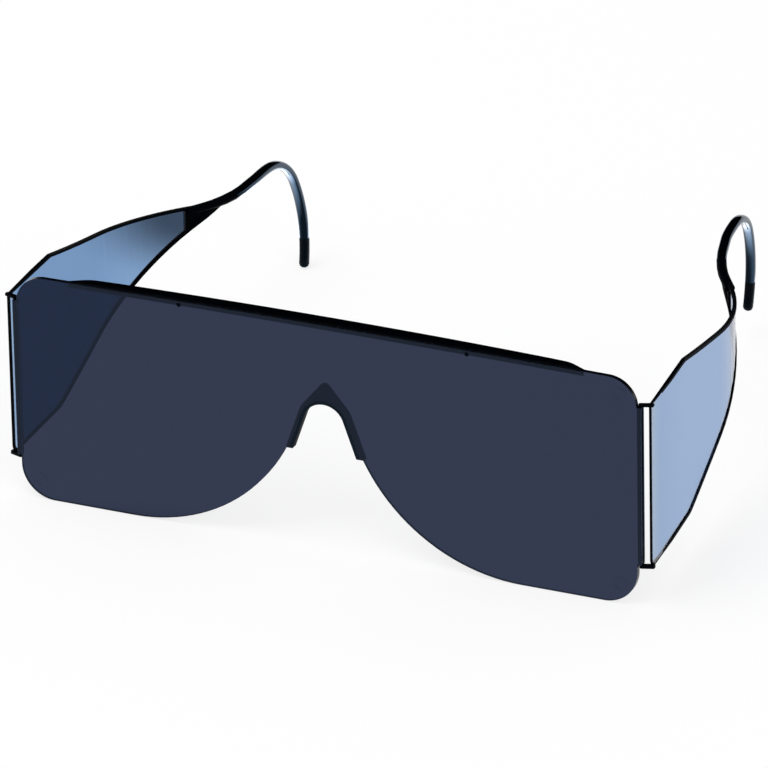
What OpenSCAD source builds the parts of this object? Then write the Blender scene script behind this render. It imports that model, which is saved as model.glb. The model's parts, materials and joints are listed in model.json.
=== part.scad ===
// Disposable eye shield: a flat tinted lens with a brow bar and a nose bridge, and two side
// temples that swing on upright bars held in snap channels along the lens edges. Each temple
// is a black rim with a thin side panel in it, and ends in a hook for the ear.
// It stands as it does on a table, on the lower edge of the lens and the tip of a hook.

/* [Lens] */
// Width of the lens between its straight sides
lens_w = 149.2; // [130:0.2:165]
// Height of the lens from its top corners to its lower edge
lens_h = 54.1; // [50:0.1:62]
// Thickness of the lens
lens_t = 1.2; // [1:0.1:1.6]
// Rise of the top edge between its corners
lens_crown = 0.4; // [0.1:0.1:1.5]
// Radius of the top corners
top_corner_r = 6.8; // [5.8:0.1:9]
// Radius of the lower outer corners
foot_corner_r = 8; // [7:0.1:10]
// Radius of the curve from the lower edge up to the nose
lobe_r = 42; // [38:0.5:44]
// Distance from the middle to the centre of that curve
lobe_x = 47; // [45:0.5:49]
// Radius of the raised ring in each corner of the back
ring_r = 1.6; // [1:0.1:2]
// Height of the raised rings
ring_h = 0.12; // [0.05:0.01:0.3]
// Distance of each ring from the side of the lens
ring_side = 4.3; // [4:0.1:5]
// Distance of each ring from the top or lower edge
ring_edge = 4.2; // [4:0.1:5]

/* [Nose bridge] */
// Depth of the top of the nose arch below the lens corners
arch_drop = 18.8; // [17:0.1:22]
// Radius of the round top of the nose arch
arch_r = 4.9; // [4:0.1:5.6]
// Flare of each leg of the arch, in degrees from upright
leg_flare = 19.6; // [16:0.2:22]
// Depth of the leg ends below the lens corners
leg_drop = 30.7; // [29:0.1:33]
// Width of the lip that lines the nose notch
lip_w = 0.8; // [0.5:0.05:1]
// Width of the flange behind the lens, from the arch outwards
bridge_flange_w = 1.8; // [1.3:0.1:2]
// Thickness of that flange
bridge_flange_t = 0.6; // [0.4:0.1:1.2]
// Height of the pointed peak above the arch
peak_h = 4.8; // [3.5:0.1:6]
// Radius of the point of the peak
peak_r = 1.3; // [0.4:0.1:1.5]

/* [Brow bar] */
// Length of the brow bar
brow_w = 124; // [100:0.5:128]
// Depth of its shelf behind the lens at the ends
brow_depth = 2.4; // [2:0.1:4]
// Further depth of the shelf in the middle
brow_bow = 1; // [0:0.1:1.6]
// Height of its flange against the lens
brow_flange_h = 1.4; // [1.2:0.1:2]
// Thickness of its walls
brow_wall = 0.8; // [0.5:0.05:1]
// Length of each tapered end
brow_taper = 4.4; // [3:0.1:8]
// Radius of the shoulder of the taper
brow_end_r = 6.7; // [2:0.1:8]
// Distance of each stake from the middle
stake_x = 34.6; // [20:0.2:45]
// Depth of the stakes below the top edge
stake_drop = 0.85; // [0.8:0.05:1.6]
// Radius of each stake, staked tight in the lens
stake_r = 0.5; // [0.3:0.05:0.55]
// Radius of the boss round each stake
boss_r = 0.7; // [0.6:0.05:0.8]

/* [Hinge] */
// Depth of the top of the hinge channel below the lens corners
channel_drop = 6.4; // [6:0.1:12]
// Length of the hinge channel
channel_l = 37.8; // [32:0.1:39]
// Radius of the hinge bar on the temple
bar_r = 0.45; // [0.35:0.01:0.6]
// Radial clearance of the bar in its channel
bar_gap = 0.05; // [0.02:0.01:0.1]
// Wall of the channel round the bar
channel_wall = 0.45; // [0.35:0.05:0.7]
// Width of the channel's mouth as a share of the bar, so that the bar snaps in
mouth_share = 0.88; // [0.8:0.01:0.95]
// Gap between the ends of the channel and the arms of the temple
arm_gap = 0.15; // [0.1:0.05:0.4]
// Gap between the side of the lens and an arm
side_gap = 0.15; // [0.1:0.05:0.4]
// Thickness of the upper arm
top_arm_t = 0.55; // [0.4:0.05:1]
// Thickness of the lower arm
low_arm_t = 0.75; // [0.5:0.05:1.2]
// Reach of the arms from the bar out to the side panel
arm_reach = 2.2; // [1.9:0.1:3.5]
// Distance of the panel's front edge behind the bar
arm_back = 0.35; // [0.1:0.05:1.5]

/* [Temples] */
// Thickness of the side panel
panel_t = 0.4; // [0.3:0.05:0.6]
// Thickness of the rim, from inside to outside
rim_t = 0.9; // [0.8:0.05:1.4]
// Width of the rim, seen from the side
rim_w = 0.65; // [0.5:0.05:1]
// Depth of the groove in the rim that holds the panel
groove_d = 0.25; // [0.15:0.05:0.4]
// Play between the panel and each wall of its groove
groove_play = 0.05; // [0.03:0.01:0.08]
// Length of the deep front part of the side panel
front_l = 20; // [14:0.5:24]
// Rise of the upper edge over the front part
front_rise = 1.8; // [0:0.1:3]
// Rise of the lower edge over the front part
foot_rise = 2.6; // [2:0.1:6]
// Sag of the upper edge between the front part and the hook
edge_sag = 0.9; // [0.2:0.1:2]
// Bow of the lower edge between the front part and the hook
jaw_bow = 1.2; // [0.2:0.1:2]
// Radius of the upper corner between the front part and the taper
brow_bend_r = 4; // [1:0.5:8]
// Radius of the lower corner between the front part and the taper
jaw_bend_r = 7; // [2:0.5:10]
// Radius of the lower front corner
chin_r = 2; // [1:0.1:3]
// Distance from the panel's front edge to the root of the hook
root_l = 69.8; // [64:0.2:76]
// Depth of the root of the hook below the lens corners
root_drop = 11.4; // [10:0.1:16]
// Distance from the root of the hook back to the cross bar of the rim
cross_bar_back = 0.4; // [0:0.1:2]
// Width of the cross bar
cross_bar_w = 0.6; // [0.4:0.05:1.2]
// How far out of true each temple stands, right up and left down, in degrees
temple_set = 1.37; // [0:0.05:3]

/* [Bend of the temples, seen from above] */
// Inward slant of the straight front part, in degrees
slant = 2; // [0:0.2:4]
// Length of the straight front part
straight_l = 42.2; // [30:0.2:50]
// Radius of the bend in towards the head
bend_in_r = 55; // [45:1:70]
// Angle of that bend
bend_in = 35; // [20:1:38]
// Radius of the bend back to the ear
bend_out_r = 36; // [28:1:45]
// Angle of that bend
bend_out = 33; // [18:1:36]

/* [Ear hooks] */
// Width of the hook, seen from the side
hook_w = 2; // [1.6:0.1:2.8]
// Thickness of the hook, from inside to outside
hook_t = 2.3; // [1.8:0.1:3]
// Squareness of the hook's section, where 2 is an ellipse
hook_square = 2.6; // [2:0.1:5]
// Slope of the hook at its root, in degrees
root_slope = 1; // [0:0.5:8]
// Length of the straight root, along the upper edge of the rim
root_run = 4.2; // [3:0.1:6]
// Width of the root where it starts, as a share of the hook's width
root_share = 0.65; // [0.5:0.05:1]
// Length of the sweep that lifts the hook
lift_l = 10.3; // [7:0.1:13]
// Angle of that sweep
lift_turn = 11.1; // [4:0.1:14]
// Length of the straight rise
rise_l = 5.3; // [3:0.1:12]
// Length of the crest
crest_l = 5.9; // [3:0.1:8]
// Angle of the crest
crest_turn = 12; // [6:0.5:16]
// Further turn of each hook at its crest, the right one back and the left one forward, in degrees
hook_set = 2.6; // [0:0.1:4]
// Radius of the bend over the ear
ear_r = 12.4; // [11:0.1:18]
// Angle of that bend
ear_turn = 63; // [55:1:75]
// Length of the drop behind the ear
drop_l = 21.8; // [14:0.2:26]
// Curl of the drop, in degrees
drop_turn = 40; // [20:1:50]
// Lean of the drop in towards the head, in degrees
drop_lean = 3.4; // [0:0.2:8]

/* [Hidden] */

left = -1;
right = 1;
arc_step = 3;     // degrees between the points of an arc
lap = 0.05;       // length by which a cut runs past a face
half_w = lens_w / 2;
bore_r = bar_r + bar_gap;
channel_r = bore_r + channel_wall;
hub_r = bar_r + 0.1;
bar_x = half_w + side_gap + hub_r;
bar_y = channel_r;
mouth_x = sqrt(bore_r * bore_r - pow(mouth_share * bar_r, 2));
arm_top_z = -channel_drop + arm_gap;
arm_low_z = -channel_drop - channel_l - arm_gap;
panel_x = bar_x + arm_reach;
panel_y = bar_y + arm_back;

// Points and headings along a line of runs and turns in a plane. A heading is measured from the
// first axis towards the second, and each move is [length, turn].
function legs(moves) = [for (m = moves) let (n = max(1, ceil(abs(m[1]) / arc_step)))
    each [for (k = [1 : n]) m / n]];
function next(s, leg) =
    let (chord = leg[1] == 0 ? leg[0] : leg[0] * sin(leg[1] / 2) * 360 / (PI * leg[1]),
         h = s[1] + leg[1] / 2)
    [s[0] + chord * [cos(h), sin(h)], s[1] + leg[1]];
function walk(s, steps, i = 0) =
    i == len(steps) ? [s] : concat([s], walk(next(s, steps[i]), steps, i + 1));

function reversed(list) = [for (k = [len(list) - 1 : -1 : 0]) list[k]];

// Outline of a band of one width along a walked line
function band(steps, w) = concat(
    [for (s = steps) s[0] + w / 2 * [-sin(s[1]), cos(s[1])]],
    reversed([for (s = steps) s[0] - w / 2 * [-sin(s[1]), cos(s[1])]]));

// Points of an arc about a centre
function arc(c, r, from, to) =
    let (n = max(1, ceil(abs(to - from) / arc_step)))
    [for (k = [0 : n]) let (a = from + (to - from) * k / n) c + r * [cos(a), sin(a)]];

// A corner of an outline drawn clockwise, moved inwards by a distance
function unit(v) = v / norm(v);
function inward(v) = [v[1], -v[0]];
function inset_corner(a, b, c, d) =
    let (m = inward(unit(b - a)), n = inward(unit(c - b))) b + d * (m + n) / (1 + m * n);
function inset_all(pts, d) = let (n = len(pts))
    [for (k = [0 : n - 1]) inset_corner(pts[(k + n - 1) % n], pts[k], pts[(k + 1) % n], d)];

// A corner rounded to a radius, as points between its two edges
function round_corner(a, b, c, r) =
    r <= 0 ? [b]
    : let (
        u = unit(a - b),
        v = unit(c - b),
        half = acos(u * v) / 2,
        centre = b + r / sin(half) * unit(u + v),
        first = b + u * r / tan(half) - centre,
        last = b + v * r / tan(half) - centre,
        from = atan2(first[1], first[0]),
        swing = atan2(last[1], last[0]) - from,
        to = from + (swing > 180 ? swing - 360 : swing < -180 ? swing + 360 : swing)
    ) arc(centre, r, from, to);
function round_all(pts, radii) = let (n = len(pts))
    [for (k = [0 : n - 1]) each round_corner(pts[(k + n - 1) % n], pts[k], pts[(k + 1) % n], radii[k])];

// Lens outline, from the middle of the top edge round to the middle of the nose notch
function crown_z(x) = lens_crown * (1 - pow(x / (half_w - top_corner_r), 2));
crown_steps = 12;
arch_c = [0, -arch_drop - arch_r];
notch_r = arch_r + lip_w;
lobe_c = [lobe_x, lobe_r - lens_h];
lobe_end = 180 + asin((lobe_c[1] + leg_drop) / lobe_r);
function leg_x(r, z) = r / cos(leg_flare) + (arch_c[1] - z) * tan(leg_flare);
half_lens = concat(
    [for (k = [0 : crown_steps - 1])
        let (x = (half_w - top_corner_r) * k / crown_steps) [x, crown_z(x)]],
    arc([half_w - top_corner_r, -top_corner_r], top_corner_r, 90, 0),
    arc([half_w - foot_corner_r, foot_corner_r - lens_h], foot_corner_r, 0, -90),
    reversed(arc(lobe_c, lobe_r, lobe_end, 270)),
    [[leg_x(notch_r, -leg_drop), -leg_drop]],
    arc(arch_c, notch_r, leg_flare, 90));
function both_sides(half) = concat(half, reversed([for (p = half) [-p[0], p[1]]]));

// The stance: the line from the lens foot under the lower hook tip lies on the table
set_rise = tan(temple_set);

// Lifts a point of a temple by the amount that the temple stands out of true
function set_point(p, side) = p + [0, side * (p[0] - panel_y) * set_rise];
function set_all(pts, side) = [for (p = pts) set_point(p, side)];

root = [panel_y + root_l, -root_drop];
// The hook starts inside the cross bar, clear of the panel's edge, which is aslant to it
root_in = cross_bar_back + groove_d + panel_t / 2;
function hook_steps(side) = walk([root + root_in * [cos(root_slope), sin(root_slope)], root_slope], legs([
    [root_run - root_in, 0],
    [lift_l, lift_turn],
    [rise_l, 0],
    [crest_l, side * hook_set - crest_turn],
    [ear_r * ear_turn * PI / 180, -ear_turn],
    [drop_l, -drop_turn]]));
function last(list) = list[len(list) - 1];
low_tip = set_point(last(hook_steps(left))[0], left);
foot = [lens_t, -lens_h];
lean = atan2(low_tip[1] - foot[1], low_tip[0] - foot[0]) - asin(hook_w / 2 / norm(low_tip - foot));
rise = foot[0] * sin(lean) - foot[1] * cos(lean);
front_reach = -lens_h * sin(lean);
back_reach = max([for (side = [left, right], s = hook_steps(side)) let (p = set_point(s[0], side))
    p[0] * cos(lean) + p[1] * sin(lean) + hook_w / 2]);
mid_y = (front_reach + back_reach) / 2;

// Puts the standing part on the table with the origin under its middle
module stand() {
    translate([0, -mid_y, rise]) rotate([-lean, 0, 0]) children();
}

// Draws a shape given across and up, as a plate from one depth to another
module plate(y0, y1) {
    translate([0, y1, 0]) rotate([90, 0, 0]) linear_extrude(y1 - y0) children();
}

// The tinted lens, with a channel along each side that the hinge bar snaps into
module lens_shield() {
    color("#3b3f58", 0.9) stand() difference() {
        union() {
            plate(0, lens_t) polygon(both_sides(half_lens));
            for (side = [left, right]) {
                translate([side * bar_x, bar_y, -channel_drop - channel_l])
                    cylinder(r = channel_r, h = channel_l, $fn = 48);
                plate(0, lens_t) translate([side * (half_w - 1 + (bar_x - half_w + 1) / 2),
                                            -channel_drop - channel_l / 2])
                    square([bar_x - half_w + 1, channel_l], center = true);
                for (z = [-ring_edge, ring_edge - lens_h])
                    translate([side * (half_w - ring_side), lens_t - lap, z]) ring_mark();
            }
        }
        for (side = [left, right]) {
            translate([side * bar_x, bar_y, -channel_drop - channel_l - lap])
                cylinder(r = bore_r, h = channel_l + 2 * lap, $fn = 48);
            translate([side * (bar_x + mouth_x + channel_r / 2), bar_y, -channel_drop - channel_l / 2])
                cube([channel_r, 2 * channel_r + 2 * lap, channel_l + 2 * lap], center = true);
            translate([side * stake_x, 0, crown_z(stake_x) - stake_drop])
                rotate([-90, 0, 0]) translate([0, 0, -lap])
                    cylinder(r = stake_r, h = lens_t + 2 * lap, $fn = 32);
        }
    }
}

// One raised ring on the back of the lens
module ring_mark() {
    line_w = ring_r / 4;
    rotate([-90, 0, 0]) difference() {
        cylinder(r = ring_r, h = lap + ring_h, $fn = 40);
        translate([0, 0, -lap]) cylinder(r = ring_r - line_w, h = 3 * lap + ring_h, $fn = 40);
    }
}

// The brow bar: a shelf and a flange in one moulding, staked to the lens in two places
module brow_bar() {
    half = brow_w / 2;
    back = lens_t + brow_depth + brow_bow;
    straight = half - brow_taper;
    end_y = lens_t + brow_depth;
    xs = [for (k = [-crown_steps : crown_steps]) half * k / crown_steps];
    color("#0b0c10") stand() {
        difference() {
            intersection() {
                plate(lens_t, back) polygon(concat(
                    [for (x = xs) [x, crown_z(x)]],
                    reversed([for (x = xs) [x, crown_z(x) - brow_flange_h]])));
                translate([0, 0, -2 * brow_flange_h]) linear_extrude(2 * brow_flange_h + 2 * lens_crown)
                    polygon(both_sides(concat(
                        [for (k = [0 : crown_steps - 1]) let (x = straight * k / crown_steps)
                            [x, back - brow_bow * pow(x / straight, 2)]],
                        round_corner([0, end_y], [straight, end_y], [half, lens_t], brow_end_r),
                        [[half, lens_t]])));
            }
            plate(lens_t + brow_wall, back + lap) polygon(concat(
                [for (x = xs) [x * (1 + lap), crown_z(x) - brow_wall]],
                reversed([for (x = xs) [x * (1 + lap), crown_z(x) - 2 * brow_flange_h]])));
        }
        for (side = [left, right])
            translate([side * stake_x, 0, crown_z(stake_x) - stake_drop]) rotate([-90, 0, 0]) {
                cylinder(r = stake_r, h = lens_t + brow_wall, $fn = 32);
                translate([0, 0, lens_t]) cylinder(r = boss_r, h = brow_wall, $fn = 32);
            }
    }
}

// Outline of the nose arch grown by a distance, closed along the ends of its legs
module arch_shape(grow) {
    r = arch_r + grow;
    polygon(both_sides(concat(
        [[leg_x(r, -leg_drop), -leg_drop]],
        arc(arch_c, r, leg_flare, 90))));
}

// The nose bridge: a lip that lines the notch, and a pointed flange behind the lens
module nose_bridge() {
    flange_r = arch_r + bridge_flange_w;
    peak_c = [0, -arch_drop + peak_h - peak_r];
    tilt = asin((flange_r - peak_r) / (peak_c[1] - arch_c[1]));
    color("#101218") stand() {
        plate(0, lens_t) difference() {
            arch_shape(lip_w);
            opened_arch();
        }
        plate(lens_t, lens_t + bridge_flange_t) difference() {
            union() {
                arch_shape(bridge_flange_w);
                polygon(both_sides(concat(
                    [arch_c + flange_r * [cos(tilt), sin(tilt)]],
                    arc(peak_c, peak_r, tilt, 90))));
            }
            opened_arch();
        }
    }
}

// The open arch, run out below the leg ends
module opened_arch() {
    arch_shape(0);
    translate([0, -leg_drop]) square([2 * leg_x(arch_r, -leg_drop), 2 * lap], center = true);
}

// Corners of a temple's outline, as distance back and height, drawn clockwise
chin = [panel_y, arm_low_z - low_arm_t];
brow = [panel_y, arm_top_z + top_arm_t];
top_bend = [panel_y + front_l, brow[1] + front_rise];
low_bend = [panel_y + front_l + 3, chin[1] + foot_rise];
top_end = root + [root_run + 1.6 * hook_w, hook_w / 4];
low_end = root + [root_run + 2.6 * hook_w, hook_w / 8];

// Points of the two long edges at a distance back, both of them sagging a little
function low_at(y) =
    let (k = (y - low_bend[0]) / (low_end[0] - low_bend[0]))
    low_bend + k * (low_end - low_bend) - [0, 4 * jaw_bow * k * (1 - k)];
function top_at(y) =
    let (k = (y - top_bend[0]) / (top_end[0] - top_bend[0]))
    top_bend + k * (top_end - top_bend) - [0, 4 * edge_sag * k * (1 - k)];
edge_steps = 12;
function top_edge(y) = [for (k = [1 : edge_steps])
    top_at(top_bend[0] + (y - top_bend[0]) * k / edge_steps)];
function low_edge(y) = [for (k = [edge_steps : -1 : 1])
    low_at(low_bend[0] + (y - low_bend[0]) * k / edge_steps)];
function shape(y_top, y_low) =
    concat([chin, brow, top_bend], top_edge(y_top), low_edge(y_low), [low_bend]);
function shape_r(d) =
    concat([chin_r - d, 0, brow_bend_r - d], [for (k = [1 : 2 * edge_steps]) 0], [jaw_bend_r - d]);

// The window for the panel, and the small pocket between the cross bar and the hook
cross_y = root[0] + cross_bar_back;
function window(d) = round_all(inset_all(shape(cross_y + rim_w, cross_y + rim_w), d), shape_r(d));
pocket_y = cross_y + cross_bar_w;
pocket = [[pocket_y, root[1]], root + [root_run + hook_w, 0], low_at(pocket_y) + [0, 1.5 * rim_w]];

// The bend of a temple seen from above, as [distance back, distance out] and heading
bend_steps = walk([[panel_y - 1, panel_x], -slant], legs([
    [straight_l + 1, 0],
    [bend_in_r * bend_in * PI / 180, -bend_in],
    [bend_out_r * bend_out * PI / 180, bend_out],
    [2 * ear_r, 0]]));
bend_xs = [for (s = bend_steps) [s[0][0], s[0][1]]];
bend_hs = [for (s = bend_steps) [s[0][0], s[1]]];

// A wall that follows the bend of the temple, cut to the side view given by its children
module bent(side, thick) {
    intersection() {
        translate([0, 0, -2 * lens_h]) linear_extrude(3 * lens_h)
            polygon([for (p = band(bend_steps, thick)) [side * p[1], p[0]]]);
        translate([side * panel_x / 2, 0, 0]) rotate([90, 0, 90])
            linear_extrude(panel_x, center = true) children();
    }
}

// The thin side panel, held in the groove of the rim, and the same form with its play
module side_panel(side, play = 0) {
    bent(side, panel_t + 2 * play) polygon(set_all(window(rim_w - groove_d - play), side));
}

// The black frame of a temple: hinge loop, rim, cross bar and ear hook
module temple_frame(side) {
    difference() {
        union() {
            bent(side, rim_t) difference() {
                polygon(set_all(round_all(shape(top_end[0], low_end[0]), shape_r(0)), side));
                polygon(set_all(window(rim_w), side));
                polygon(set_all(pocket, side));
            }
            hinge_loop(side);
        }
        side_panel(side, groove_play);
    }
    bent(side, panel_t) polygon(set_all(inset_all(pocket, -rim_w / 4), side));
    hook(side);
}

// The hook: one rounded section swept along its centre line in space, with a rounded tip. The
// line bends with the temple, and leans in down the drop.
module hook(side) {
    sides = 24;
    tip_turns = [35, 65, 88];
    steps = hook_steps(side);
    crest = max([for (s = steps) s[0][1]]);
    crest_y = max([for (s = steps) if (s[0][1] == crest) s[0][0]]);
    line = [for (s = steps)
        let (q = set_point(s[0], side),
             in = s[0][0] > crest_y ? (crest - s[0][1]) * tan(drop_lean) : 0)
        [side * (lookup(q[0], bend_xs) - in), q[0], q[1]]];
    end_k = len(line) - 1;
    frames = [for (k = [0 : end_k])
        let (
            along = unit(line[min(k + 1, end_k)] - line[max(k - 1, 0)]),
            h = lookup(steps[k][0][0], bend_hs),
            out = [side * cos(h), -sin(h), 0],
            up = unit(cross(along, out))
        ) [line[k], along, cross(up, along), up]];
    end = last(frames);
    thin = function(y) min(1, root_share + (1 - root_share) * (y - root[0]) / (2 * root_run));
    stations = concat(
        [for (k = [0 : end_k]) [frames[k], [hook_t, hook_w * thin(steps[k][0][0])]]],
        [for (a = tip_turns) [[end[0] + hook_w / 2 * sin(a) * end[1], end[1], end[2], end[3]],
                              cos(a) * [hook_t, hook_w]]]);
    rings = [for (s = stations) each [for (j = [0 : sides - 1])
        let (a = 360 * j / sides,
             r = pow(pow(abs(cos(a)), hook_square) + pow(abs(sin(a)), hook_square), -1 / hook_square) / 2)
        s[0][0] + r * (s[1][0] * cos(a) * s[0][2] + s[1][1] * sin(a) * s[0][3])]];
    n = len(stations);
    polyhedron(rings, concat(
        [[for (j = [0 : sides - 1]) j]],
        [for (k = [0 : n - 2], j = [0 : sides - 1]) each
            let (a = k * sides + j, b = k * sides + (j + 1) % sides)
            [[a, a + sides, b], [b, a + sides, b + sides]]],
        [[for (j = [0 : sides - 1]) n * sides - 1 - j]]));
}

// The slotted front loop: the hinge bar and the two arms that carry it
module hinge_loop(side) {
    translate([side * bar_x, bar_y, arm_low_z - low_arm_t])
        cylinder(r = bar_r, h = arm_top_z + top_arm_t - arm_low_z + low_arm_t, $fn = 48);
    for (arm = [[arm_top_z, top_arm_t], [arm_low_z - low_arm_t, low_arm_t]])
        translate([0, 0, arm[0]]) linear_extrude(arm[1]) {
            translate([side * bar_x, bar_y]) circle(r = hub_r, $fn = 48);
            polygon([for (p = [[0, -hub_r], [arm_reach + rim_t / 2, arm_back],
                               [arm_reach + rim_t / 2, arm_back + rim_t],
                               [arm_reach - rim_t / 2, arm_back + rim_t], [0, hub_r]])
                [side * (bar_x + p[0]), bar_y + p[1]]]);
        }
}

module left_temple_frame() { color("#0d0e13") stand() temple_frame(left); }
module right_temple_frame() { color("#0d0e13") stand() temple_frame(right); }
module left_side_panel() { color("#8fa6cc", 0.7) stand() side_panel(left); }
module right_side_panel() { color("#8fa6cc", 0.7) stand() side_panel(right); }

lens_shield();
brow_bar();
nose_bridge();
left_temple_frame();
left_side_panel();
right_temple_frame();
right_side_panel();
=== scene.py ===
"""A disposable eye shield: flat smoke lens, black brow bar and nose bridge, folding temples."""

import json
import math

import bmesh
import bpy
from mathutils import Matrix, Vector

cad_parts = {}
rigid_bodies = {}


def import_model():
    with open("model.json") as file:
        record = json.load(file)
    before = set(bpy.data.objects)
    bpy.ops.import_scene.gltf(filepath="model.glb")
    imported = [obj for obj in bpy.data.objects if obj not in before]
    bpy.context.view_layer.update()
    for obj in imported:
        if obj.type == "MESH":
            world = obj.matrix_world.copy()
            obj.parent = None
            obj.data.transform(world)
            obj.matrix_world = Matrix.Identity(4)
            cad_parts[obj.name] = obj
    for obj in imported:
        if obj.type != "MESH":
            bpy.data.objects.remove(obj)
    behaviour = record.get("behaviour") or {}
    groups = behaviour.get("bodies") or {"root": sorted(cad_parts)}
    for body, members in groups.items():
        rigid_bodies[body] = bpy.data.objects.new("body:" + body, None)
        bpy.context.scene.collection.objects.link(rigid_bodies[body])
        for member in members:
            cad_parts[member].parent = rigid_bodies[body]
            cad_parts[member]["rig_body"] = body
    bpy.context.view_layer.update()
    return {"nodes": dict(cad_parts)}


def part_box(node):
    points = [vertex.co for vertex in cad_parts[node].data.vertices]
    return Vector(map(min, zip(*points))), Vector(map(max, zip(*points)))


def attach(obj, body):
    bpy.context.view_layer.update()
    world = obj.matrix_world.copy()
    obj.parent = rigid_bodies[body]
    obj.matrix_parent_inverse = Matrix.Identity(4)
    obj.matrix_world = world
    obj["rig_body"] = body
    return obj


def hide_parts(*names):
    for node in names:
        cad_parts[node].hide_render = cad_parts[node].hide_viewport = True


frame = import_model()

# Camera
# The photograph is taken from the front right and above, from more than two metres away with a
# long lens, so the shield shows almost no perspective. The camera is rolled a little.
CAMERA_AZIMUTH = 26.311
CAMERA_ELEVATION = 31.412
CAMERA_ROLL = -4.586
CAMERA_DISTANCE = 2.156
CAMERA_AIM = (0.01443, -0.05185, 0.04232)
CAMERA_CLIP = (0.1, 50)
FOCAL_MM = 462.36
SENSOR_MM = 36.0

azimuth, elevation = math.radians(CAMERA_AZIMUTH), math.radians(CAMERA_ELEVATION)
towards_camera = Vector((
    math.sin(azimuth) * math.cos(elevation),
    -math.cos(azimuth) * math.cos(elevation),
    math.sin(elevation),
))
camera_data = bpy.data.cameras.new("camera")
camera_data.lens = FOCAL_MM
camera_data.sensor_width = SENSOR_MM
camera_data.clip_start, camera_data.clip_end = CAMERA_CLIP
camera = bpy.data.objects.new("camera", camera_data)
bpy.context.scene.collection.objects.link(camera)
camera.location = Vector(CAMERA_AIM) + towards_camera * CAMERA_DISTANCE
turn = (-towards_camera).to_track_quat("-Z", "Y").to_matrix()
camera.rotation_euler = (turn @ Matrix.Rotation(math.radians(CAMERA_ROLL), 3, "Z")).to_euler()
bpy.context.scene.camera = camera

# Lens
# One flat sheet of smoke-tinted polycarbonate, 1.2 mm thick, moulded with the two channels that
# the temples snap into. The tint is in the plastic, and the edges are flame polished.
MERGE_DISTANCE = 2e-6
SHARP_ANGLE = math.radians(28)
COLOUR_A, COLOUR_B, COLOUR_RESULT = 6, 7, 2
LENS_PASSES = "#292d40"
LENS_IOR = 1.4
COOL_GLOSS = "#aacbff"
DUST = "#05060a"
DUST_CELL = 0.011
DUST_SHARE = 0.011
DUST_CORE = 0.6
EDGE_BLACK = "#05070c"
EDGE_IOR = 1.5
EDGE_GLOSS = 0.3
EDGE_ROUGHNESS = (0.16, 0.28)
EDGE_GRAIN = 0.0012
EDGE_COSINE = 0.7


def paint(hex_code):
    """An sRGB hex colour as linear red, green, blue and alpha."""
    parts = [int(hex_code[start:start + 2], 16) / 255 for start in (1, 3, 5)]
    linear = [part / 12.92 if part <= 0.04045 else ((part + 0.055) / 1.055) ** 2.4
              for part in parts]
    return linear + [1]


def add_node(tree, kind, settings=None, links=None):
    """Adds a node, sets its attributes or input sockets, and links sockets into its inputs."""
    node = tree.nodes.new(kind)
    for name, value in (settings or {}).items():
        if isinstance(name, str) and hasattr(node, name):
            setattr(node, name, value)
        else:
            node.inputs[name].default_value = value
    for name, socket in (links or {}).items():
        tree.links.new(socket, node.inputs[name])
    return node


def new_material(name):
    """An empty node material, its tree and its output node."""
    material = bpy.data.materials.new(name)
    material.use_nodes = True
    material.node_tree.nodes.clear()
    output = add_node(material.node_tree, "ShaderNodeOutputMaterial")
    return material, material.node_tree, output


def finished_copy(node, name, material):
    """A CAD solid's mesh with its loose triangles merged and its curved faces shaded smooth."""
    source = frame["nodes"][node]
    mesh = source.data.copy()
    mesh.name = name
    form = bmesh.new()
    form.from_mesh(mesh)
    bmesh.ops.remove_doubles(form, verts=form.verts, dist=MERGE_DISTANCE)
    for face in form.faces:
        face.smooth = True
    for edge in form.edges:
        edge.smooth = edge.calc_face_angle(math.pi) < SHARP_ANGLE
    form.to_mesh(mesh)
    form.free()
    if mesh.attributes.get("custom_normal"):
        mesh.attributes.remove(mesh.attributes["custom_normal"])
    mesh.materials.clear()
    mesh.materials.append(material)
    piece = bpy.data.objects.new(name, mesh)
    bpy.context.scene.collection.objects.link(piece)
    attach(piece, source["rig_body"])
    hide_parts(node)
    return piece


# The faces are glass smooth: they let a dim, cool light through, mirror it sharply, and hold a few
# dark specks of dust.
lens_material, tree, output = new_material("smoke_tinted_polycarbonate")
place = add_node(tree, "ShaderNodeTexCoord").outputs["Object"]
specks = add_node(tree, "ShaderNodeTexVoronoi", {"Scale": 1 / DUST_CELL}, {"Vector": place})
clear = add_node(tree, "ShaderNodeMapRange", {
    "From Min": DUST_CORE * DUST_SHARE, "From Max": DUST_SHARE},
    {"Value": specks.outputs["Distance"]})
tint = add_node(tree, "ShaderNodeMix", {
    "data_type": "RGBA", COLOUR_A: paint(DUST), COLOUR_B: paint(LENS_PASSES)},
    {"Factor": clear.outputs["Result"]})
plastic = add_node(tree, "ShaderNodeBsdfPrincipled", {
    "Roughness": 0.0, "IOR": LENS_IOR, "Transmission Weight": 1.0,
    "Specular Tint": paint(COOL_GLOSS)},
    {"Base Color": tint.outputs[COLOUR_RESULT]})
tree.links.new(plastic.outputs["BSDF"], output.inputs["Surface"])
lens = finished_copy("lens_shield", "lens", lens_material)

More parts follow.
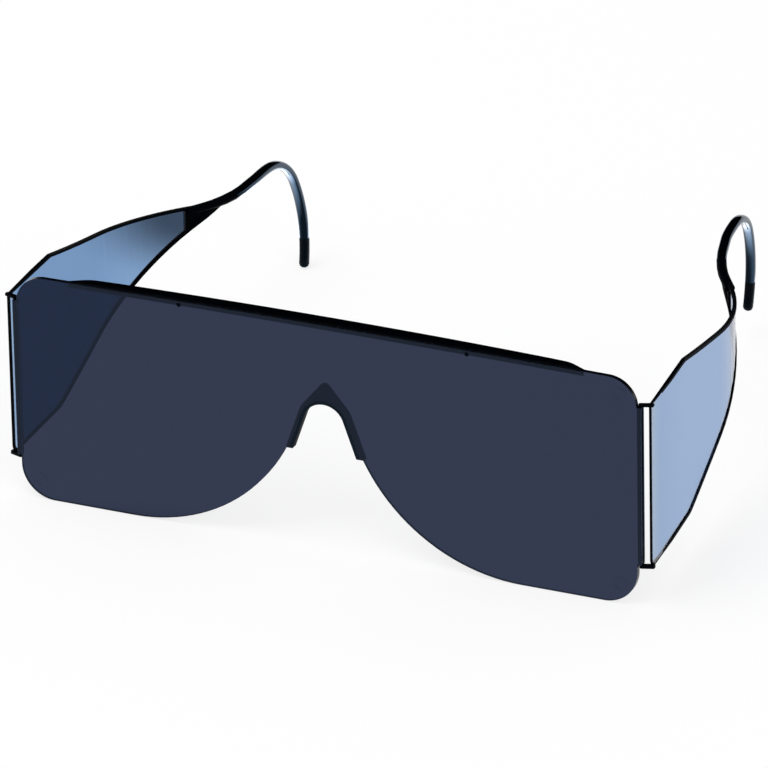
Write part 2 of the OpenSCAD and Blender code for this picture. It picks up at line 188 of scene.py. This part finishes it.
# Light runs the long way through an edge, so it looks nearly black. A saw grain is left under the
# flame polish, drawn coarser than the real one, and it makes the edge shine softly and unevenly.
edge_material, tree, output = new_material("flame_polished_edge")
place = add_node(tree, "ShaderNodeTexCoord").outputs["Object"]
grain = add_node(tree, "ShaderNodeTexNoise", {"Scale": 1 / EDGE_GRAIN}, {"Vector": place})
rough = add_node(tree, "ShaderNodeMapRange", {
    "To Min": EDGE_ROUGHNESS[0], "To Max": EDGE_ROUGHNESS[1]}, {"Value": grain.outputs["Fac"]})
edge = add_node(tree, "ShaderNodeBsdfPrincipled", {
    "Base Color": paint(EDGE_BLACK), "IOR": EDGE_IOR, "Specular IOR Level": EDGE_GLOSS},
    {"Roughness": rough.outputs["Result"]})
tree.links.new(edge.outputs["BSDF"], output.inputs["Surface"])
lens.data.materials.append(edge_material)
sheet_normal = max(lens.data.polygons, key=lambda face: face.area).normal.copy()
if sheet_normal.y > 0:
    sheet_normal.negate()
for face in lens.data.polygons:
    face.material_index = int(abs(face.normal.dot(sheet_normal)) < EDGE_COSINE)
lens_front = max(vertex.co.dot(sheet_normal) for vertex in lens.data.vertices)

# Brow bar and nose bridge
# Small black mouldings of ABS behind the lens. The brow bar has two stakes that come through the
# lens to its front, where their ends were melted flat and stay matt.
ABS_BLACK = "#020305"
ABS_IOR = 1.5
BLACK_SHEEN = "#95cbff"
TOOL_GRAIN = 0.0011
GRAIN_DETAIL = 3.0
GRAIN_DEPTH = 0.00003
GRAIN_STRENGTH = 0.05
MOULDED_ROUGHNESS = (0.05, 0.1)
MOULDED_GLOSS = 0.2
MATT_ROUGHNESS = (0.55, 0.7)
MATT_GLOSS = 0.05
STAKE_END = 0.0002


def black_plastic(name, roughness, gloss):
    """Black ABS with a tool grain, drawn coarser than the real one so that it shows."""
    material, tree, output = new_material(name)
    place = add_node(tree, "ShaderNodeTexCoord").outputs["Object"]
    grain = add_node(tree, "ShaderNodeTexNoise", {
        "Scale": 1 / TOOL_GRAIN, "Detail": GRAIN_DETAIL}, {"Vector": place})
    rough = add_node(tree, "ShaderNodeMapRange", {
        "To Min": roughness[0], "To Max": roughness[1]}, {"Value": grain.outputs["Fac"]})
    peel = add_node(tree, "ShaderNodeBump", {
        "Strength": GRAIN_STRENGTH, "Distance": GRAIN_DEPTH}, {"Height": grain.outputs["Fac"]})
    plastic = add_node(tree, "ShaderNodeBsdfPrincipled", {
        "Base Color": paint(ABS_BLACK), "IOR": ABS_IOR, "Specular IOR Level": gloss,
        "Specular Tint": paint(BLACK_SHEEN)},
        {"Roughness": rough.outputs["Result"], "Normal": peel.outputs["Normal"]})
    tree.links.new(plastic.outputs["BSDF"], output.inputs["Surface"])
    return material


# The moulded finish stays black with a faint cool sheen, and the matt one mirrors next to nothing.
moulded_black = black_plastic("moulded_black_abs", MOULDED_ROUGHNESS, MOULDED_GLOSS)
matt_black = black_plastic("matt_black_abs", MATT_ROUGHNESS, MATT_GLOSS)
brow = finished_copy("brow_bar", "brow_trim", moulded_black)
brow.data.materials.append(matt_black)
for face in brow.data.polygons:
    face.material_index = int(face.center.dot(sheet_normal) > lens_front - STAKE_END)
finished_copy("nose_bridge", "nose_trim", moulded_black)

# Temple frames
# Each temple is one matt black ABS moulding: the bar that snaps into the lens, the rim round the
# panel and the ear hook. The hook is polished to slide over the ear, all but its tip.
HOOK_BEHIND_PANEL = 0.012
TIP_LENGTH = 0.007
POLISHED_ROUGHNESS = (0.06, 0.1)
POLISHED_GLOSS = 1.0

# The polish mirrors the floor with a sharp cool highlight.
polished_black = black_plastic("polished_black_abs", POLISHED_ROUGHNESS, POLISHED_GLOSS)
hook_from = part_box("left_side_panel")[1][1] + HOOK_BEHIND_PANEL
hook_tops, hook_tips = [], []
for side in ("left", "right"):
    temple = finished_copy(side + "_temple_frame", side + "_temple", matt_black)
    hook = [vertex.co.copy() for vertex in temple.data.vertices if vertex.co.y > hook_from]
    hook_tops.append(max(hook, key=lambda spot: spot.z))
    hook_tips.append(min(hook, key=lambda spot: spot.z))
    matt_below = hook_tips[-1].z + TIP_LENGTH
    temple.data.materials.append(polished_black)
    for face in temple.data.polygons:
        face.material_index = int(face.center.y > hook_from and face.center.z > matt_below)

# Side panels
# Thin clear polycarbonate with a light blue smoke tint, cut from film and set into the rims. It is
# as clear as glass, with a slow ripple that bends what it mirrors a little.
PANEL_PASSES = "#57abdb"
PANEL_DENSITY = 3500.0
PANEL_SHADOW = "#a3b8d8"
PANEL_IOR = 1.585
RIPPLE = 0.009
RIPPLE_DETAIL = 1.0
RIPPLE_DEPTH = 0.00003
RIPPLE_STRENGTH = 0.4

panel_material, tree, output = new_material("blue_smoke_polycarbonate")
place = add_node(tree, "ShaderNodeTexCoord").outputs["Object"]
wave = add_node(tree, "ShaderNodeTexNoise", {
    "Scale": 1 / RIPPLE, "Detail": RIPPLE_DETAIL}, {"Vector": place})
ripple = add_node(tree, "ShaderNodeBump", {
    "Strength": RIPPLE_STRENGTH, "Distance": RIPPLE_DEPTH}, {"Height": wave.outputs["Fac"]})
plastic = add_node(tree, "ShaderNodeBsdfPrincipled", {
    "Base Color": (1, 1, 1, 1), "Roughness": 0.0, "IOR": PANEL_IOR, "Transmission Weight": 1.0},
    {"Normal": ripple.outputs["Normal"]})
tint = add_node(tree, "ShaderNodeVolumeAbsorption", {
    "Color": paint(PANEL_PASSES), "Density": PANEL_DENSITY})
lamp_ray = add_node(tree, "ShaderNodeLightPath").outputs["Is Shadow Ray"]
passed = add_node(tree, "ShaderNodeBsdfTransparent", {"Color": paint(PANEL_SHADOW)})
mixed = add_node(tree, "ShaderNodeMixShader", {}, {
    0: lamp_ray, 1: plastic.outputs["BSDF"], 2: passed.outputs["BSDF"]})
tree.links.new(mixed.outputs["Shader"], output.inputs["Surface"])
tree.links.new(tint.outputs["Volume"], output.inputs["Volume"])

for side in ("left", "right"):
    finished_copy(side + "_side_panel", side + "_clear_panel", panel_material)

# Floor, backdrop and lamps
# A plain white paper sweep under soft studio light. The camera sees it white, with a soft shadow.
# The gloss sees it with a painted shade under the shield and a painted highlight under each hook,
# and the clear plastic sees a painted shade at the back left.
FLOOR_HALF = 3.0
SHADOW_SHARE = 0.25
# Painted shade: a dark oval on the floor under the shield, which only the gloss sees, standing in
# for the shield's shadow.
SHADE_MIDDLE = (-0.012, 0.0, 0.0)
SHADE_HALF = (0.085, 0.062, 1.0)
SHADE_FADE = (0.8, 1.2)
SHADE_LEVEL = 0.15
# Painted highlight: a bright patch on the floor beneath each hook top, with a gap beneath its tip,
# which only the hooks mirror.
HIGHLIGHT_PATCH_INBOARD = 0.97
HIGHLIGHT_PATCH_BEHIND = 0.017
HIGHLIGHT_PATCH_NEAR = 0.006
HIGHLIGHT_PATCH_FAR = 0.027
HIGHLIGHT_PATCH_LEVEL = 7.0
HIGHLIGHT_SEEN_NEAR = 0.042
HIGHLIGHT_SEEN_FAR = 0.055
TIP_NEAR = 0.0015
TIP_FAR = 0.004
# Painted shade at the back left of the floor, which only the clear plastic shows.
BACK_LEFT = (-0.088, 0.072, 0.0)
BACK_LEFT_NEAR = 0.012
BACK_LEFT_FAR = 0.038
BACK_LEFT_LEVEL = 0.15
AMBIENT = 0.55
HORIZON_FADE = (-0.02, 0.03)

floor_material, tree, output = new_material("white_paper_sweep")
place = add_node(tree, "ShaderNodeTexCoord").outputs["Object"]
path = add_node(tree, "ShaderNodeLightPath")


def floor_patch(middle, near, far, inside, outside):
    """A round patch on the floor, at one level near its middle and fading to another."""
    reach = add_node(tree, "ShaderNodeVectorMath", {"operation": "DISTANCE", 1: middle},
                     {0: place})
    fade = add_node(tree, "ShaderNodeMapRange", {
        "interpolation_type": "SMOOTHSTEP", "From Min": near, "From Max": far,
        "To Min": inside, "To Max": outside}, {"Value": reach.outputs["Value"]})
    return fade.outputs["Result"]


# In the gloss the floor carries a painted shade under the shield. A painted highlight, a bright
# patch that is no lamp, lies beneath each hook but not beneath its tip, and only what is near,
# which is the hook, mirrors it.
# The painted shade under the shield, as the gloss sees it.
offset = add_node(tree, "ShaderNodeVectorMath", {"operation": "SUBTRACT", 1: SHADE_MIDDLE},
                  {0: place})
offset = add_node(tree, "ShaderNodeVectorMath", {"operation": "DIVIDE", 1: SHADE_HALF},
                  {0: offset.outputs["Vector"]})
reach = add_node(tree, "ShaderNodeVectorMath", {"operation": "LENGTH"},
                 {0: offset.outputs["Vector"]})
mirrored = add_node(tree, "ShaderNodeMapRange", {
    "interpolation_type": "SMOOTHSTEP", "From Min": SHADE_FADE[0], "From Max": SHADE_FADE[1],
    "To Min": SHADE_LEVEL, "To Max": 1.0}, {"Value": reach.outputs["Value"]}).outputs["Result"]
# The painted highlight is bright only to rays that have come a short way, from the hooks.
painted_highlight = add_node(tree, "ShaderNodeMapRange", {
    "interpolation_type": "SMOOTHSTEP", "From Min": HIGHLIGHT_SEEN_NEAR, "From Max": HIGHLIGHT_SEEN_FAR,
    "To Min": HIGHLIGHT_PATCH_LEVEL, "To Max": 0.0}, {"Value": path.outputs["Ray Length"]})
for top, tip in zip(hook_tops, hook_tips):
    spot = (top.x * HIGHLIGHT_PATCH_INBOARD, top.y + HIGHLIGHT_PATCH_BEHIND, 0)
    highlight_patch = add_node(tree, "ShaderNodeMath", {"operation": "MULTIPLY"}, {
        0: floor_patch(spot, HIGHLIGHT_PATCH_NEAR, HIGHLIGHT_PATCH_FAR, 1.0, 0.0), 1: painted_highlight.outputs["Result"]})
    highlight_patch = add_node(tree, "ShaderNodeMath", {"operation": "MULTIPLY"}, {
        0: highlight_patch.outputs["Value"],
        1: floor_patch((tip.x, tip.y, 0), TIP_NEAR, TIP_FAR, 0.0, 1.0)})
    mirrored = add_node(tree, "ShaderNodeMath", {"operation": "MAXIMUM"},
                        {0: mirrored, 1: highlight_patch.outputs["Value"]}).outputs["Value"]

# Through the clear plastic a painted shade shows at the back left and darkens the rear of the left
# panel, and the camera sees none of these painted patches.
tone = add_node(tree, "ShaderNodeMix", {}, {
    "Factor": path.outputs["Is Transmission Ray"], "A": mirrored,
    "B": floor_patch(BACK_LEFT, BACK_LEFT_NEAR, BACK_LEFT_FAR, BACK_LEFT_LEVEL, 1.0)})
level = add_node(tree, "ShaderNodeMix", {"B": 1.0}, {
    "Factor": path.outputs["Is Camera Ray"], "A": tone.outputs["Result"]})

# Gloss and plastic see the floor shine by itself, and the camera sees a share of its shadow.
indirect = add_node(tree, "ShaderNodeMath", {"operation": "MAXIMUM"},
                    {0: path.outputs["Is Glossy Ray"], 1: path.outputs["Is Transmission Ray"]})
share = add_node(tree, "ShaderNodeMath", {"operation": "MULTIPLY", 1: 1 - SHADOW_SHARE},
                 {0: path.outputs["Is Camera Ray"]})
share = add_node(tree, "ShaderNodeMath", {"operation": "MAXIMUM"},
                 {0: share.outputs["Value"], 1: indirect.outputs["Value"]})
paper = add_node(tree, "ShaderNodeBsdfDiffuse", {"Color": (1, 1, 1, 1)})
white = add_node(tree, "ShaderNodeEmission", {"Color": (1, 1, 1, 1)},
                 {"Strength": level.outputs["Result"]})
mixed = add_node(tree, "ShaderNodeMixShader", {}, {
    0: share.outputs["Value"], 1: paper.outputs["BSDF"], 2: white.outputs["Emission"]})
tree.links.new(mixed.outputs["Shader"], output.inputs["Surface"])
floor_material.cycles.emission_sampling = "NONE"

floor_mesh = bpy.data.meshes.new("floor")
floor_mesh.from_pydata(
    [(-FLOOR_HALF, -FLOOR_HALF, 0), (FLOOR_HALF, -FLOOR_HALF, 0),
     (FLOOR_HALF, FLOOR_HALF, 0), (-FLOOR_HALF, FLOOR_HALF, 0)],
    [], [(0, 1, 2, 3)])
floor = bpy.data.objects.new("floor", floor_mesh)
floor.data.materials.append(floor_material)
bpy.context.scene.collection.objects.link(floor)

# The studio behind the floor is white where it is seen straight or through plastic, and dark above
# the horizon in the gloss. It lights the shield evenly.
world = bpy.data.worlds.new("studio")
bpy.context.scene.world = world
world.use_nodes = True
world.cycles.sampling_method = "NONE"
tree = world.node_tree
tree.nodes.clear()
output = add_node(tree, "ShaderNodeOutputWorld")
direction = add_node(tree, "ShaderNodeTexCoord").outputs["Generated"]
height = add_node(tree, "ShaderNodeSeparateXYZ", {}, {0: direction}).outputs["Z"]
below = add_node(tree, "ShaderNodeMapRange", {
    "interpolation_type": "SMOOTHSTEP", "From Min": HORIZON_FADE[0],
    "From Max": HORIZON_FADE[1], "To Min": 1.0, "To Max": 0.0}, {"Value": height})
path = add_node(tree, "ShaderNodeLightPath")
seen = add_node(tree, "ShaderNodeMath", {"operation": "MAXIMUM"},
                {0: path.outputs["Is Camera Ray"], 1: path.outputs["Is Transmission Ray"]})
mirrored = add_node(tree, "ShaderNodeMath", {"operation": "MULTIPLY"},
                    {0: path.outputs["Is Glossy Ray"], 1: below.outputs["Result"]})
plain = add_node(tree, "ShaderNodeMath", {"operation": "SUBTRACT", 0: 1.0},
                 {1: path.outputs["Is Glossy Ray"]})
plain = add_node(tree, "ShaderNodeMath", {"operation": "MULTIPLY", 1: AMBIENT},
                 {0: plain.outputs["Value"]})
level = add_node(tree, "ShaderNodeMath", {"operation": "ADD"},
                 {0: mirrored.outputs["Value"], 1: plain.outputs["Value"]})
level = add_node(tree, "ShaderNodeMath", {"operation": "MAXIMUM"},
                 {0: level.outputs["Value"], 1: seen.outputs["Value"]})
light = add_node(tree, "ShaderNodeBackground", {"Color": (1, 1, 1, 1)},
                 {"Strength": level.outputs["Value"]})
tree.links.new(light.outputs["Background"], output.inputs["Surface"])

# Two square softboxes: where each one hangs, the length of its side and its power in watts.
LAMPS = {
    "overhead_softbox": ((-0.5, -0.2, 1.6), 1.4, 14),
    "side_softbox": ((1.5, -0.9, 1.1), 0.9, 6),
}
for name, (spot, size, power) in LAMPS.items():
    lamp_data = bpy.data.lights.new(name, "AREA")
    lamp_data.shape = "SQUARE"
    lamp_data.size = size
    lamp_data.energy = power
    lamp = bpy.data.objects.new(name, lamp_data)
    lamp.location = spot
    lamp.rotation_euler = (-Vector(spot)).to_track_quat("-Z", "Y").to_euler()
    bpy.context.scene.collection.objects.link(lamp)

bpy.context.scene.view_settings.view_transform = "Standard"
